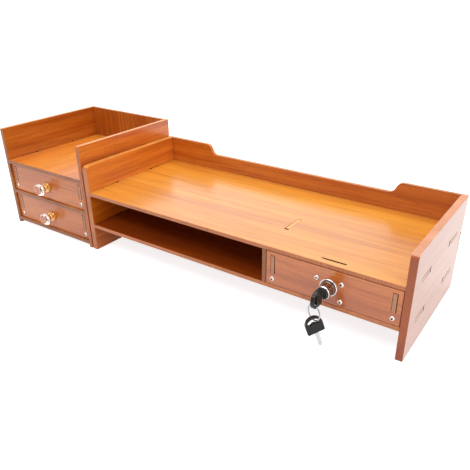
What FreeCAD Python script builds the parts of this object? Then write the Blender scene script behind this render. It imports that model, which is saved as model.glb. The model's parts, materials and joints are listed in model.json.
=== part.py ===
import FreeCAD, Part
import math
import os
import Sketcher

# A low monitor stand with a lockable drawer, and the narrow two-drawer cabinet that stands at its left.
# Lengths are in millimetres. X points to the right, Y from the fronts to the back, Z up.
# The origin is on the desk, at the middle of the whole set's box.

doc = FreeCAD.newDocument("MonitorStand")
sheet = doc.addObject("Spreadsheet::Sheet", "Sizes")
Vec = FreeCAD.Vector
rows = []


class Dim:
    """A size from the sheet, or a sum of sizes, with its expression and its value."""

    def __init__(self, text, value):
        self.text = text
        self.value = float(value)

    def __add__(self, other):
        other = dim(other)
        return Dim("(%s + %s)" % (self.text, other.text), self.value + other.value)

    def __sub__(self, other):
        other = dim(other)
        return Dim("(%s - %s)" % (self.text, other.text), self.value - other.value)

    def __mul__(self, other):
        other = dim(other)
        return Dim("(%s * %s)" % (self.text, other.text), self.value * other.value)

    def __truediv__(self, other):
        other = dim(other)
        return Dim("(%s / %s)" % (self.text, other.text), self.value / other.value)

    def __neg__(self):
        return Dim("(0 - %s)" % self.text, -self.value)

    __radd__ = __add__

    def __rsub__(self, other):
        return dim(other) - self

    __rmul__ = __mul__


def dim(value):
    return value if isinstance(value, Dim) else Dim("(%r)" % float(value), value)


def size(alias, value):
    rows.append(alias)
    row = len(rows)
    sheet.set("A%d" % row, alias)
    sheet.set("B%d" % row, "%g" % value)
    sheet.setAlias("B%d" % row, alias)
    return Dim("Sizes." + alias, value)


# Stand
standWidth = size("stand_width", 510)
depth = size("unit_depth", 200)
standHeight = size("stand_height", 138)
panel = size("stand_panel_thickness", 9)
board = size("board_thickness", 5.5)
platformTop = size("platform_top", 97)
shelfTop = size("shelf_top", 44.2)
dividerFace = size("divider_left_face_from_right", 190.5)
cornerRadius = size("stand_corner_radius", 8)
lipDip = size("lip_dip", 16)
lipTopHalf = size("lip_top_half_gap", 164)
lipLowHalf = size("lip_low_half_gap", 156)
lipRadius = size("lip_radius", 10)

# Cabinet at the left
unitGap = size("gap_between_units", 2.5)
cabinetWidth = size("cabinet_width", 190)
cabinetHeight = size("cabinet_height", 166.5)
cabinetPanel = size("cabinet_panel_thickness", 6.5)
trayTop = size("tray_top", 113.5)
middleTop = size("middle_board_top", 61.8)
bottomTop = size("bottom_board_top", 10.3)
recess = size("cabinet_front_recess", 3)

# Tabs and slots shared by both units
tabOne = size("front_tab_start", 27.2)
tabOneEnd = size("front_tab_end", 56)
tabTwo = size("rear_tab_start", 137)
tabTwoEnd = size("rear_tab_end", 172.3)
slotOne = size("front_slot_start", 27)
slotOneEnd = size("front_slot_end", 58.5)
slotTwo = size("rear_slot_start", 134.5)
slotTwoEnd = size("rear_slot_end", 172.5)
slotSlack = size("slot_slack_above", 0.5)
relief = size("corner_relief_radius", 1.3)
backTabLow = size("back_tab_low", 59)
backTabHigh = size("back_tab_high", 86)
dividerTab = size("divider_tab_start", 57)
dividerTabEnd = size("divider_tab_end", 91)

# Drawers
sideClear = size("drawer_side_gap", 0.7)
liftClear = size("drawer_lift_gap", 0.3)
drawerLength = size("drawer_length", 186)
standFrontHeight = size("stand_front_height", 46.2)
cabinetFrontHeight = size("cabinet_front_height", 45.2)
standInset = size("stand_drawer_side_inset", 9)
cabinetInset = size("cabinet_drawer_side_inset", 8.4)
frontTab = size("drawer_tab_low", 16.1)
frontTabEnd = size("drawer_tab_high", 40.3)
screwHeight = size("drawer_screw_height", 8.5)
sideDrop = size("drawer_side_drop", 2.6)
floorLow = size("drawer_floor_underside", 1.4)
floorThick = size("drawer_floor_thickness", 2.5)
floorGroove = size("drawer_groove_depth", 2.3)
standFace = size("stand_front_face", 0.5)

# Screws and square nuts
screwHole = size("screw_hole_radius", 1.7)
shank = size("screw_shank_radius", 1.45)
screwHead = size("screw_head_radius", 3.2)
nutWidth = size("nut_width", 5.4)
nutThick = size("nut_thickness", 1.8)
nutDepth = size("nut_depth", 4.2)

# Lock
lockX = size("lock_from_right", 98.1)
lockZ = size("lock_height", 66.3)
barrel = size("lock_barrel_radius", 8.7)
barrelNose = size("lock_barrel_nose", 15.6)
bore = size("lock_bore_radius", 5.5)
plugFit = size("lock_plug_fit", 0.05)
ringRadius = size("lock_ring_radius", 11.3)
flangeThick = size("lock_flange_thickness", 1.5)
lockScrewX = size("lock_screw_half_width", 16)
lockScrewLow = size("lock_screw_below", 14.7)
lockScrewHigh = size("lock_screw_above", 8.7)
boltHalf = size("lock_bolt_half_width", 13.3)
boltThick = size("lock_bolt_thickness", 1.8)
boltPlane = size("lock_bolt_plane", 9.1)
boltTop = size("lock_bolt_top", 24.6)
camPin = size("lock_cam_pin_offset", 2.75)
boltSlotHalf = size("bolt_slot_half_length", 16)

# Keys, each with a moulded bow, and the wire ring they hang on
bowHalf = size("key_bow_half_width", 10.8)
bowStraight = size("key_bow_straight", 11)
bowThick = size("key_bow_thickness", 4.6)
slotCentre = size("key_slot_arc_centre", 8.8)
slotArc = size("key_slot_arc_radius", 7.3)
slotHalf = size("key_slot_half_gap", 2.7)
bowGap = size("key_bow_to_plug", 4.2)
bladeThick = size("key_blade_thickness", 2)
bladeHalf = size("key_blade_half_width", 2.7)
bladeLength = size("key_blade_length", 18.8)
wire = size("ring_wire_radius", 0.75)
loop = size("ring_loop_radius", 10)

# Knobs
knobHeight = size("knob_height_in_front", 20.8)
crystal = size("knob_crystal_radius", 10.4)
knobFoot = size("knob_foot_radius", 8.2)

# Distance from the fronts to the origin
setback = size("front_setback", 77.7985)
doc.recompute()

right = (standWidth + unitGap + cabinetWidth) / 2
standLeft = right - standWidth
cabinetLeft = -right
cabinetRight = cabinetLeft + cabinetWidth
front = -setback

nodes = {}


def plane(body, role):
    return [item for item in body.Origin.OriginFeatures if item.Role == role][0]


def newBody(name):
    body = doc.addObject("PartDesign::Body", name)
    body.Label = name
    return body


def place(item, x, y, z):
    for axis, value in zip("xyz", (x, y, z)):
        item.setExpression("Placement.Base." + axis, dim(value).text)


def newSketch(body, role, offset=None):
    sketch = body.newObject("Sketcher::SketchObject", body.Name + "_sketch")
    sketch.AttachmentSupport = (plane(body, role), [""])
    sketch.MapMode = "FlatFace"
    if offset is not None:
        sketch.setExpression("AttachmentOffset.Base.z", dim(offset).text)
    return sketch


def pin(sketch, geometry, position, x, y):
    """Fixes a point of the sketch at x and y, each bound to the sheet."""
    for kind, axis, value in (("DistanceX", -2, dim(x)), ("DistanceY", -1, dim(y))):
        if abs(value.value) < 1e-9:
            sketch.addConstraint(Sketcher.Constraint("PointOnObject", geometry, position, axis))
            continue
        made = sketch.addConstraint(Sketcher.Constraint(kind, -1, 1, geometry, position, value.value))
        sketch.setExpression("Constraints[%d]" % made, value.text)


def polygon(sketch, points):
    """Closed outline of straight edges through the points."""
    first = sketch.GeometryCount
    corners = [Vec(dim(x).value, dim(y).value, 0) for x, y in points]
    count = len(points)
    edges = [Part.LineSegment(corners[i], corners[(i + 1) % count]) for i in range(count)]
    sketch.addGeometry(edges, False)
    joins = []
    for i in range(count):
        joins.append(Sketcher.Constraint("Coincident", first + i, 2, first + (i + 1) % count, 1))
    sketch.addConstraint(joins)
    for i, (x, y) in enumerate(points):
        pin(sketch, first + i, 1, x, y)


def rectangle(sketch, x0, x1, y0, y1):
    polygon(sketch, [(x0, y0), (x1, y0), (x1, y1), (x0, y1)])


def circle(sketch, x, y, radius):
    radius = dim(radius)
    made = sketch.GeometryCount
    shape = Part.Circle(Vec(dim(x).value, dim(y).value, 0), Vec(0, 0, 1), radius.value)
    sketch.addGeometry(shape, False)
    pin(sketch, made, 3, x, y)
    bound = sketch.addConstraint(Sketcher.Constraint("Radius", made, radius.value))
    sketch.setExpression("Constraints[%d]" % bound, radius.text)


def pad(body, sketch, length, backwards=False):
    feature = body.newObject("PartDesign::Pad", body.Name + "_pad")
    feature.Profile = sketch
    feature.setExpression("Length", dim(length).text)
    feature.Reversed = backwards
    doc.recompute()
    return feature


def cut(body, sketch, length=None, backwards=False):
    before = body.Shape.Volume
    feature = body.newObject("PartDesign::Pocket", body.Name + "_cut")
    feature.Profile = sketch
    if length is None:
        feature.Type = 1
    else:
        feature.setExpression("Length", dim(length).text)
    feature.Reversed = backwards
    doc.recompute()
    if body.Shape.Volume > before - 0.01:
        raise RuntimeError("the cut in %s takes nothing away" % body.Name)
    return feature


def turn(body, sketch, axis):
    feature = body.newObject("PartDesign::Revolution", body.Name + "_turn")
    feature.Profile = sketch
    feature.ReferenceAxis = (sketch, [axis])
    feature.Angle = 360
    doc.recompute()
    return feature


def roundEdges(body, base, radius, wanted):
    """Rounds the edges of the body for which wanted(edge) is true."""
    names = ["Edge%d" % (i + 1) for i, edge in enumerate(base.Shape.Edges) if wanted(edge)]
    if not names:
        raise RuntimeError("no edge to round in %s" % body.Name)
    feature = body.newObject("PartDesign::Fillet", body.Name + "_round")
    feature.Base = (base, names)
    feature.setExpression("Radius", dim(radius).text)
    doc.recompute()
    return feature


def mirrored(source, name, normal, axis, position):
    item = doc.addObject("Part::Mirroring", name)
    item.Source = source
    item.Normal = normal
    item.setExpression("Base." + axis, dim(position).text)
    return item


def grouped(name, items):
    group = doc.addObject("Part::Compound", name)
    group.Label = name
    group.Links = items
    nodes[name] = group
    return group


def sidePanel(name, x, height, thickness, boardTops, rounded):
    """Upright panel: slots for the boards' tabs, and an open notch at the back for the back panel's tab."""
    body = newBody(name)
    outline = newSketch(body, "YZ_Plane")
    polygon(outline, [
        (0, 0), (depth, 0), (depth, backTabLow), (depth - board, backTabLow),
        (depth - board, backTabHigh), (depth, backTabHigh), (depth, height), (0, height)])
    base = pad(body, outline, thickness)
    slots = newSketch(body, "YZ_Plane")
    for top in boardTops:
        rectangle(slots, slotOne, slotOneEnd, top - board, top + slotSlack)
        rectangle(slots, slotTwo, slotTwoEnd, top - board, top + slotSlack)
    cut(body, slots, backwards=True)
    reliefs = newSketch(body, "YZ_Plane")
    for top in boardTops:
        for y in (slotOneEnd, slotTwo):
            circle(reliefs, y, top - board, relief)
            circle(reliefs, y, top + slotSlack, relief)
    for z in (backTabLow, backTabHigh):
        circle(reliefs, depth - board, z, relief)
    base = cut(body, reliefs, backwards=True)
    if rounded:
        roundEdges(body, base, cornerRadius, lambda edge: abs(edge.CenterOfMass.y) < 0.01
                   and abs(edge.CenterOfMass.z - height.value) < 0.01
                   and abs(edge.BoundBox.XLength - thickness.value) < 0.01)
    place(body, x, front, 0)
    nodes[name] = body
    return body


def crossBoard(name, x, top, width, wall, backTabs, slots):
    """Level board between two uprights, with two tabs at each end and tabs into the back panel."""
    body = newBody(name)
    outline = newSketch(body, "XY_Plane")
    back = depth - board
    points = [(wall, 0), (width - wall, 0)]
    for start, end in ((tabOne, tabOneEnd), (tabTwo, tabTwoEnd)):
        points += [(width - wall, start), (width, start), (width, end), (width - wall, end)]
    points.append((width - wall, back))
    for start, end in reversed(backTabs):
        points += [(end, back), (end, depth), (start, depth), (start, back)]
    points.append((wall, back))
    for start, end in ((tabTwo, tabTwoEnd), (tabOne, tabOneEnd)):
        points += [(wall, end), (0, end), (0, start), (wall, start)]
    polygon(outline, points)
    pad(body, outline, board)
    reliefs = newSketch(body, "XY_Plane")
    for edge in (wall, width - wall):
        for y in (tabOne, tabOneEnd, tabTwo, tabTwoEnd):
            circle(reliefs, edge, y, relief)
    cut(body, reliefs, backwards=True)
    if slots:
        openings = newSketch(body, "XY_Plane")
        for x0, x1, y0, y1 in slots:
            rectangle(openings, x0, x1, y0, y1)
        cut(body, openings, backwards=True)
    place(body, x, front, top - board)
    nodes[name] = body
    return body


def backPanel(name, x, width, wall, low, height, boards, dipped):
    """Upright back board, flush with the uprights' rear edges, with one tab at each end."""
    body = newBody(name)
    outline = newSketch(body, "XZ_Plane")
    points = [(wall, low), (width - wall, low), (width - wall, backTabLow + 0.3), (width, backTabLow + 0.3),
              (width, backTabHigh - 0.3), (width - wall, backTabHigh - 0.3), (width - wall, height)]
    if dipped:
        middle = width / 2
        points += [(middle + lipTopHalf, height), (middle + lipLowHalf, height - lipDip),
                   (middle - lipLowHalf, height - lipDip), (middle - lipTopHalf, height)]
    points += [(wall, height), (wall, backTabHigh - 0.3), (0, backTabHigh - 0.3),
               (0, backTabLow + 0.3), (wall, backTabLow + 0.3)]
    polygon(outline, points)
    base = pad(body, outline, board, backwards=True)
    openings = newSketch(body, "XZ_Plane")
    for start, end, top in boards:
        rectangle(openings, start - 0.2, end + 0.2, top - board, top + 0.3)
    base = cut(body, openings)
    if dipped:
        corners = [width.value / 2 + sign * half for sign in (1, -1) for half in (lipTopHalf.value, lipLowHalf.value)]
        roundEdges(body, base, lipRadius, lambda edge: any(abs(edge.CenterOfMass.x - x0) < 0.01 for x0 in corners)
                   and edge.CenterOfMass.z > height.value - lipDip.value - 0.01
                   and abs(edge.BoundBox.YLength - board.value) < 0.01
                   and edge.BoundBox.XLength < 0.01)
    place(body, x, front + depth - board, 0)
    nodes[name] = body
    return body


# The stand's boards
standBackTabs = [(147, 187), (303, 343)]
dividerX = standWidth - dividerFace
dividerSlot = (dividerX - 0.2, dividerX + board + 0.2, dividerTab - 3, dividerTabEnd + 1)
boltSlot = (standWidth - lockX - boltSlotHalf, standWidth - lockX + boltSlotHalf,
            boltPlane - 0.3, boltPlane + boltThick + 0.3)
for name, x in (("stand_side_left", standLeft), ("stand_side_right", right - panel)):
    sidePanel(name, x, standHeight, panel, (shelfTop, platformTop), True)
crossBoard("stand_top_board", standLeft, platformTop, standWidth, panel, standBackTabs, [dividerSlot, boltSlot])
crossBoard("stand_lower_board", standLeft, shelfTop, standWidth, panel, standBackTabs, [dividerSlot])
backBoards = [(start, end, top) for start, end in standBackTabs for top in (shelfTop, platformTop)]
backPanel("stand_back_panel", standLeft, standWidth, panel, shelfTop - board, standHeight, backBoards, True)

divider = newBody("stand_divider")
dividerOutline = newSketch(divider, "YZ_Plane")
lowFace = shelfTop
highFace = platformTop - board
dividerBack = depth - board
polygon(dividerOutline, [
    (0, lowFace), (dividerTab, lowFace), (dividerTab, lowFace - board), (dividerTabEnd, lowFace - board),
    (dividerTabEnd, lowFace), (dividerBack, lowFace), (dividerBack, highFace), (dividerTabEnd, highFace),
    (dividerTabEnd, platformTop), (dividerTab, platformTop), (dividerTab, highFace), (0, highFace)])
pad(divider, dividerOutline, board)
place(divider, standLeft + dividerX, front, 0)
nodes["stand_divider"] = divider

# The cabinet's boards
cabinetBackTabs = [(75, 115)]
cabinetTops = (bottomTop, middleTop, trayTop)
for name, x in (("cabinet_side_left", cabinetLeft), ("cabinet_side_right", cabinetRight - cabinetPanel)):
    sidePanel(name, x, cabinetHeight, cabinetPanel, cabinetTops, False)
for name, top in zip(("cabinet_bottom_board", "cabinet_middle_board", "cabinet_tray_board"), cabinetTops):
    crossBoard(name, cabinetLeft, top, cabinetWidth, cabinetPanel, cabinetBackTabs, [])
backBoards = [(start, end, top) for start, end in cabinetBackTabs for top in cabinetTops]
backPanel("cabinet_back_panel", cabinetLeft, cabinetWidth, cabinetPanel, bottomTop - board,
          cabinetHeight, backBoards, False)


def drawerEnd(name, x, y, z, width, height, inset, grooveSide, holes):
    """Front or back board of a drawer: slots for the sides' tabs, screw holes and the floor's groove."""
    body = newBody(name)
    outline = newSketch(body, "XZ_Plane")
    rectangle(outline, 0, width, 0, height)
    pad(body, outline, board, backwards=True)
    openings = newSketch(body, "XZ_Plane")
    for centre in (inset, width - inset):
        rectangle(openings, centre - board / 2 - 0.1, centre + board / 2 + 0.6, frontTab - 0.1, frontTabEnd + 1)
        circle(openings, centre, screwHeight, screwHole)
    for hx, hz, radius in holes:
        circle(openings, hx, hz, radius)
    cut(body, openings)
    low = inset + board / 2 - floorGroove
    offset = -board if grooveSide > 0 else 0
    groove = newSketch(body, "XZ_Plane", offset)
    rectangle(groove, low - 0.1, width - low + 0.1, floorLow - 0.1, floorLow + floorThick + 0.1)
    cut(body, groove, floorGroove + 0.1, backwards=grooveSide > 0)
    place(body, x, y, z)
    nodes[name] = body
    return body


def drawerSide(name, x, y, z, height, grooveSide):
    """Side board of a drawer: a tab and a cross-shaped nut slot at each end, and the floor's groove."""
    body = newBody(name)
    outline = newSketch(body, "YZ_Plane")
    nutLow = screwHeight - nutWidth / 2 - 0.15
    nutHigh = screwHeight + nutWidth / 2 + 0.15
    slotLow = screwHeight - screwHole
    slotHigh = screwHeight + screwHole
    near = board + nutDepth - 0.2
    far = board + nutDepth + nutThick + 0.2
    deep = board + 9.5
    half = [(board, slotLow), (near, slotLow), (near, nutLow), (far, nutLow), (far, slotLow), (deep, slotLow),
            (deep, slotHigh), (far, slotHigh), (far, nutHigh), (near, nutHigh), (near, slotHigh), (board, slotHigh),
            (board, frontTab), (0, frontTab), (0, frontTabEnd), (board, frontTabEnd)]
    points = [(board, 0)] + half + [(board, height)]
    points += [(drawerLength - py, pz) for py, pz in [(board, height)] + half[::-1] + [(board, 0)]]
    polygon(outline, points)
    pad(body, outline, board)
    groove = newSketch(body, "YZ_Plane", board if grooveSide > 0 else 0)
    rectangle(groove, 0, drawerLength, floorLow - 0.1, floorLow + floorThick + 0.1)
    cut(body, groove, floorGroove + 0.1, backwards=grooveSide < 0)
    place(body, x, y, z)
    nodes[name] = body
    return body


def machineScrew(name, length, role="XY_Plane"):
    """Pan-head screw along Y with a cross recess. Its head stands in front of y = 0."""
    body = newBody(name)
    profile = newSketch(body, "XY_Plane")
    polygon(profile, [(0, -1.9), (1.3, -1.85), (2.3, -1.45), (3, -0.8), (screwHead, 0), (shank, 0),
                      (shank, length), (0, length)])
    turn(body, profile, "V_Axis")
    recessShape = newSketch(body, "XZ_Plane", 2)
    arm = 1.7
    slim = 0.42
    polygon(recessShape, [
        (arm, -slim), (arm, slim), (slim, slim), (slim, arm), (-slim, arm), (-slim, slim),
        (-arm, slim), (-arm, -slim), (-slim, -slim), (-slim, -arm), (slim, -arm), (slim, -slim)])
    cut(body, recessShape, 1.4)
    return body


def squareNut(name):
    body = newBody(name)
    outline = newSketch(body, "XZ_Plane")
    rectangle(outline, -nutWidth / 2, nutWidth / 2, -nutWidth / 2, nutWidth / 2)
    circle(outline, 0, 0, shank + 0.03)
    pad(body, outline, nutThick, backwards=True)
    return body


def fourTimes(name, piece, x, y, z, middleX, middleY):
    """Places the piece and mirrors it to the four corners of the drawer."""
    place(piece, x, y, z)
    other = mirrored(piece, name + "_b", Vec(1, 0, 0), "x", middleX)
    rear = mirrored(piece, name + "_c", Vec(0, 1, 0), "y", middleY)
    rearOther = mirrored(other, name + "_d", Vec(0, 1, 0), "y", middleY)
    grouped(name, [piece, other, rear, rearOther])


def drawer(prefix, x, y, z, width, height, inset, holes):
    backHeight = height - sideDrop
    drawerEnd(prefix + "_front", x, y, z, width, height, inset, 1, holes)
    drawerEnd(prefix + "_back", x, y + drawerLength - board, z, width, backHeight, inset, -1, [])
    drawerSide(prefix + "_left", x + inset - board / 2, y, z, backHeight, 1)
    drawerSide(prefix + "_right", x + width - inset - board / 2, y, z, backHeight, -1)
    floor = newBody(prefix + "_floor")
    outline = newSketch(floor, "XY_Plane")
    edge = inset + board / 2 - floorGroove
    rectangle(outline, edge, width - edge, board - floorGroove, drawerLength - board + floorGroove)
    pad(floor, outline, floorThick)
    place(floor, x, y, z + floorLow)
    nodes[prefix + "_floor"] = floor
    middleX = x + width / 2
    middleY = y + drawerLength / 2
    screw = machineScrew(prefix + "_screw", 13.5)
    fourTimes(prefix + "_screws", screw, x + inset, y, z + screwHeight, middleX, middleY)
    nut = squareNut(prefix + "_nut")
    fourTimes(prefix + "_nuts", nut, x + inset, y + board + nutDepth, z + screwHeight, middleX, middleY)


def knob(prefix, x, y, z):
    """Crystal on a turned brass foot, held by a screw from inside the drawer."""
    foot = newBody(prefix + "_knob_foot")
    profile = newSketch(foot, "XY_Plane")
    polygon(profile, [
        (1.75, 0), (knobFoot, 0), (knobFoot, -2.5), (knobFoot - 0.6, -3.1), (5.4, -3.9), (3.9, -5), (3.5, -6.4),
        (4.2, -7.8), (5.5, -8.7), (5.5, -9.8), (0, -9.8), (0, -8), (1.75, -8)])
    turn(foot, profile, "V_Axis")
    place(foot, x, y, z)
    nodes[prefix + "_knob_foot"] = foot
    gem = newBody(prefix + "_knob_crystal")
    profile = newSketch(gem, "XY_Plane")
    polygon(profile, [(0, -9.8), (5.3, -9.8), (crystal - 0.5, -13.5), (crystal, -14.4), (crystal, -15.6),
                      (crystal - 0.5, -16.5), (6.2, -21), (0, -22.3)])
    turn(gem, profile, "V_Axis")
    place(gem, x, y, z)
    nodes[prefix + "_knob_crystal"] = gem
    screw = newBody(prefix + "_knob_screw")
    profile = newSketch(screw, "XY_Plane")
    polygon(profile, [(0, -6.5), (1.7, -6.5), (1.7, board), (3.6, board), (3.3, board + 1.3), (2.2, board + 2.1),
                      (0, board + 2.1)])
    turn(screw, profile, "V_Axis")
    place(screw, x, y, z)
    nodes[prefix + "_knob_screw"] = screw


# The cabinet's two drawers
cabinetOpening = cabinetWidth - cabinetPanel * 2
cabinetFrontWidth = cabinetOpening - sideClear * 2
cabinetDrawerX = cabinetLeft + cabinetPanel + sideClear
for prefix, boardTop in (("upper_drawer", middleTop), ("lower_drawer", bottomTop)):
    z = boardTop + liftClear
    drawer(prefix, cabinetDrawerX, front + recess, z, cabinetFrontWidth, cabinetFrontHeight,
           cabinetInset, [(cabinetFrontWidth / 2, knobHeight, 2.1)])
    knob(prefix, cabinetDrawerX + cabinetFrontWidth / 2, front + recess, z + knobHeight)

# The stand's drawer
standOpening = dividerFace - board - panel
standFrontWidth = standOpening - sideClear * 2
standDrawerX = right - panel - sideClear - standFrontWidth
standDrawerY = front + standFace
standDrawerZ = shelfTop + liftClear
lockWorldX = right - lockX
lockLocalX = lockWorldX - standDrawerX
lockLocalZ = lockZ - standDrawerZ
lockHoles = [(lockLocalX, lockLocalZ, barrel + 0.2)]
screwSpots = [(sign * lockScrewX, height) for sign in (1, -1) for height in (-lockScrewLow, lockScrewHigh)]
lockHoles += [(lockLocalX + hx, lockLocalZ + hz, screwHole) for hx, hz in screwSpots]
drawer("stand_drawer", standDrawerX, standDrawerY, standDrawerZ, standFrontWidth, standFrontHeight, standInset,
       lockHoles)

# The lock. Its pieces are drawn about the barrel's axis, with y = 0 at the plane of the stand's front edges.
inner = standFace + board
flange = newBody("lock_flange")
outline = newSketch(flange, "XZ_Plane", -inner)
flangeLow = -lockScrewLow - 2.5
flangeHigh = lockScrewHigh + 3.5
rectangle(outline, -lockScrewX - 3.5, lockScrewX + 3.5, flangeLow, flangeHigh)
circle(outline, 0, 0, bore + 0.3)
for hx, hz in screwSpots:
    circle(outline, hx, hz, shank + 0.03)
pad(flange, outline, flangeThick, backwards=True)

case = newBody("lock_case")
caseFront = inner + flangeThick
caseHalf = boltHalf + 0.9
outline = newSketch(case, "XZ_Plane", -caseFront)
rectangle(outline, -caseHalf, caseHalf, -12.4, flangeHigh)
pad(case, outline, 5.5, backwards=True)
hollow = newSketch(case, "XZ_Plane", -caseFront)
rectangle(hollow, -boltHalf - 0.3, boltHalf + 0.3, -11.8, flangeHigh - 0.6)
cut(case, hollow, 4.8)
mouth = newSketch(case, "XY_Plane", flangeHigh)
rectangle(mouth, -boltHalf - 0.3, boltHalf + 0.3, boltPlane - 0.3, boltPlane + boltThick + 0.3)
cut(case, mouth, 1.2)

cylinder = newBody("lock_barrel")
outline = newSketch(cylinder, "XZ_Plane", -inner)
circle(outline, 0, 0, barrel)
circle(outline, 0, 0, bore)
pad(cylinder, outline, inner + barrelNose)

trim = newBody("lock_ring")
profile = newSketch(trim, "XY_Plane")
polygon(profile, [
    (barrel + 0.05, standFace), (ringRadius, standFace), (ringRadius, -0.5), (ringRadius - 0.5, -1.2),
    (ringRadius - 1.6, -1.2), (barrel + 0.75, -1.7), (barrel + 0.45, -4.2), (barrel + 0.05, -4.2)])
turn(trim, profile, "V_Axis")

plug = newBody("lock_plug")
plugBack = caseFront + 0.4
outline = newSketch(plug, "XZ_Plane", -plugBack)
circle(outline, 0, 0, bore - plugFit)
pad(plug, outline, plugBack + barrelNose + 0.2)
keyway = newSketch(plug, "XZ_Plane", barrelNose + 0.2)
rectangle(keyway, -bladeThick / 2 - 0.3, bladeThick / 2 + 0.3, -bladeHalf - 0.3, bladeHalf + 0.3)
cut(plug, keyway, bladeLength + 0.3)

cam = newBody("lock_cam")
outline = newSketch(cam, "XZ_Plane", -plugBack)
circle(outline, 0, 0, bore - 0.1)
pad(cam, outline, 0.8, backwards=True)
stub = newSketch(cam, "XZ_Plane", -plugBack - 0.8)
circle(stub, -camPin, -camPin, 1.2)
pad(cam, stub, boltThick + 0.8, backwards=True)

lockBolt = newBody("lock_bolt")
outline = newSketch(lockBolt, "XZ_Plane", -boltPlane)
rectangle(outline, -boltHalf, boltHalf, -7, boltTop)
pad(lockBolt, outline, boltThick, backwards=True)
window = newSketch(lockBolt, "XZ_Plane", -boltPlane)
rectangle(window, -camPin * 1.4143 - 1.65, -camPin + 1.65, -camPin - 1.6, -camPin + 1.6)
cut(lockBolt, window)

for body in (flange, case, cylinder, trim, plug, cam, lockBolt):
    place(body, lockWorldX, front, lockZ)
    nodes[body.Name] = body

lockScrew = machineScrew("lock_screw", board + flangeThick + 0.6)
spots = []
for i, (hx, hz) in enumerate(screwSpots):
    if i == 0:
        place(lockScrew, lockWorldX + hx, standDrawerY, lockZ + hz)
        spots.append(lockScrew)
        continue
    copy = doc.addObject("Part::Compound", "lock_screw_%d" % i)
    copy.Links = [lockScrew]
    place(copy, hx - screwSpots[0][0], 0, hz - screwSpots[0][1])
    spots.append(copy)
grouped("lock_screws", spots)


def keyBow(name):
    """Moulded bow in its own plane: width along x, height along y from its flat foot, with an arched slot."""
    body = newBody(name)
    outline = newSketch(body, "XY_Plane", -bowThick / 2)
    half = bowHalf.value
    top = bowStraight.value
    outline.addGeometry([
        Part.LineSegment(Vec(-half, 0, 0), Vec(half, 0, 0)),
        Part.LineSegment(Vec(half, 0, 0), Vec(half, top, 0)),
        Part.ArcOfCircle(Part.Circle(Vec(0, top, 0), Vec(0, 0, 1), half), 0, math.pi),
        Part.LineSegment(Vec(-half, top, 0), Vec(-half, 0, 0))], False)
    joins = [Sketcher.Constraint("Coincident", 0, 2, 1, 1), Sketcher.Constraint("Coincident", 1, 2, 2, 1),
             Sketcher.Constraint("Coincident", 2, 2, 3, 1), Sketcher.Constraint("Coincident", 3, 2, 0, 1)]
    outline.addConstraint(joins)
    pin(outline, 0, 1, -bowHalf, 0)
    pin(outline, 1, 1, bowHalf, 0)
    pin(outline, 2, 1, bowHalf, bowStraight)
    pin(outline, 2, 2, -bowHalf, bowStraight)
    bound = outline.addConstraint(Sketcher.Constraint("DistanceY", -1, 1, 2, 3, top))
    outline.setExpression("Constraints[%d]" % bound, bowStraight.text)
    base = pad(body, outline, bowThick)
    slot = newSketch(body, "XY_Plane", -bowThick / 2)
    spread = math.radians(38)
    low, high = math.pi / 2 - spread, math.pi / 2 + spread
    middle = Vec(0, slotCentre.value, 0)
    arc, gap = slotArc.value, slotHalf.value
    ends = [Vec(sign * arc * math.sin(spread), slotCentre.value + arc * math.cos(spread), 0) for sign in (1, -1)]
    slot.addGeometry([
        Part.ArcOfCircle(Part.Circle(middle, Vec(0, 0, 1), arc + gap), low, high),
        Part.ArcOfCircle(Part.Circle(ends[1], Vec(0, 0, 1), gap), high, high + math.pi),
        Part.ArcOfCircle(Part.Circle(middle, Vec(0, 0, 1), arc - gap), low, high),
        Part.ArcOfCircle(Part.Circle(ends[0], Vec(0, 0, 1), gap), low - math.pi, low)], False)
    slot.addConstraint([
        Sketcher.Constraint("Tangent", 0, 2, 1, 1), Sketcher.Constraint("Tangent", 1, 2, 2, 2),
        Sketcher.Constraint("Tangent", 2, 1, 3, 1), Sketcher.Constraint("Tangent", 3, 2, 0, 1)])
    pin(slot, 0, 3, 0, slotCentre)
    pin(slot, 2, 3, 0, slotCentre)
    for geometry, radius in ((0, slotArc + slotHalf), (2, slotArc - slotHalf)):
        bound = slot.addConstraint(Sketcher.Constraint("Radius", geometry, radius.value))
        slot.setExpression("Constraints[%d]" % bound, radius.text)
    for geometry, sign in ((3, 1), (1, -1)):
        reach = slotArc * (sign * math.sin(spread))
        bound = slot.addConstraint(Sketcher.Constraint("DistanceX", -1, 1, geometry, 3, reach.value))
        slot.setExpression("Constraints[%d]" % bound, reach.text)
    base = cut(body, slot, backwards=True)
    pocket = newSketch(body, "XZ_Plane")
    rectangle(pocket, -bladeHalf, bladeHalf, -bladeThick / 2, bladeThick / 2)
    base = cut(body, pocket, 8)
    roundEdges(body, base, 1.6, lambda edge: abs(edge.CenterOfMass.y) < 0.01
               and abs(abs(edge.CenterOfMass.x) - bowHalf.value) < 0.01
               and abs(edge.BoundBox.ZLength - bowThick.value) < 0.01)
    nodes[name] = body
    return body


def keyBlade(name):
    """Flat blade below the bow's foot, with its tang inside the bow and bitted edges."""
    body = newBody(name)
    outline = newSketch(body, "XY_Plane", -bladeThick / 2)
    polygon(outline, [
        (-bladeHalf, 8), (-bladeHalf, -4.5), (-2, -5.6), (-2, -6.6), (-bladeHalf, -7.8), (-bladeHalf, -9),
        (-1.5, -10.6), (-1.5, -11.4), (-2.4, -12.4), (-2.4, -13.2), (-1.8, -14), (-1.8, -14.8),
        (-bladeHalf, -15.8), (-bladeHalf, -16.4), (-0.8, -bladeLength), (0.8, -bladeLength),
        (bladeHalf, -16.8), (bladeHalf, -14.8), (2.1, -13.8), (2.1, -12.8), (bladeHalf, -11.8),
        (bladeHalf, 8)])
    pad(body, outline, bladeThick)
    nodes[name] = body
    return body


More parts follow.
